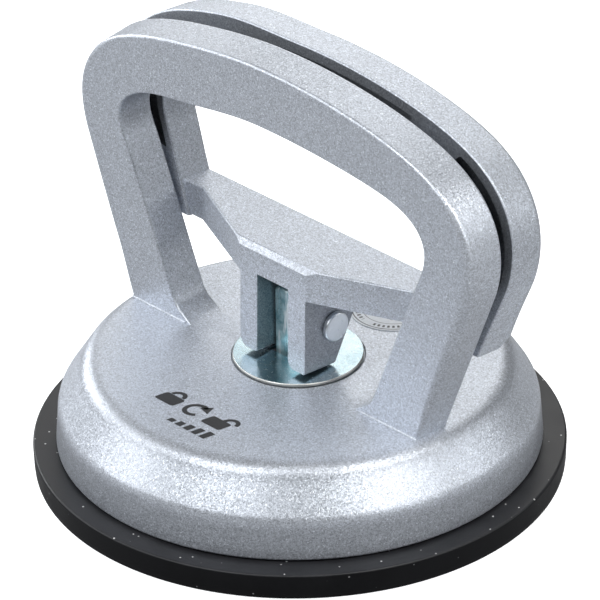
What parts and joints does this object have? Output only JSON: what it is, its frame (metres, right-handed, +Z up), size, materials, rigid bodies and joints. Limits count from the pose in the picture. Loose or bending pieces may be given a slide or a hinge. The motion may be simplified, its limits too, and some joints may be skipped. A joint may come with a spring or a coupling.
{
  "type": "vacuum suction cup",
  "caption": "Aluminium vacuum suction lifter: a bell with a fixed D handle, a cam lever behind it, and a round rubber pad the lever dishes up.",
  "frame": {"origin": "centre of the face of the rubber pad that rests on the work", "axes": "+X along the two handles, +Y from the fixed handle towards the lever, +Z up away from the work"},
  "size_m": [0.1232, 0.1206, 0.1014],
  "materials": {
    "cast_paint": "fine silver paint over die-cast aluminium, satin with a sand-like sparkle",
    "zinc_plate": "bright zinc plating with a blue passivation",
    "pin_steel": "bright turned steel",
    "spring_steel": "drawn spring wire, lightly oiled",
    "pad_rubber": "black moulded rubber, matt",
    "label": "round self-adhesive label, grey print"
  },
  "bodies": {
    "housing": {"housing": "cast_paint", "cam_plate": "zinc_plate", "pad_rim": "pad_rubber", "rating_label": "label", "return_spring": "spring_steel"},
    "puller": {"tie_bar": "zinc_plate", "insert_plate": "zinc_plate", "pad_center": "pad_rubber", "pivot_pin": "pin_steel", "pin_washer": "pin_steel", "retaining_clip": "spring_steel"},
    "lever": {"lever": "cast_paint"}
  },
  "joints": [
    {"name": "pull_slide", "type": "slide", "parent": "housing", "child": "puller", "axis": [0, 0, -1], "range_m": [0, 0.0028], "deforming": ["return_spring"]},
    {"name": "lever_pivot", "type": "hinge", "parent": "puller", "child": "lever", "pos_m": [0, 0.001, 0.0376], "axis": [-1, 0, 0], "range_deg": [0, 70]}
  ],
  "couplings": [
    {"joint": "pull_slide", "follows": "lever_pivot", "m_per_rad": 0.0022}
  ]
}
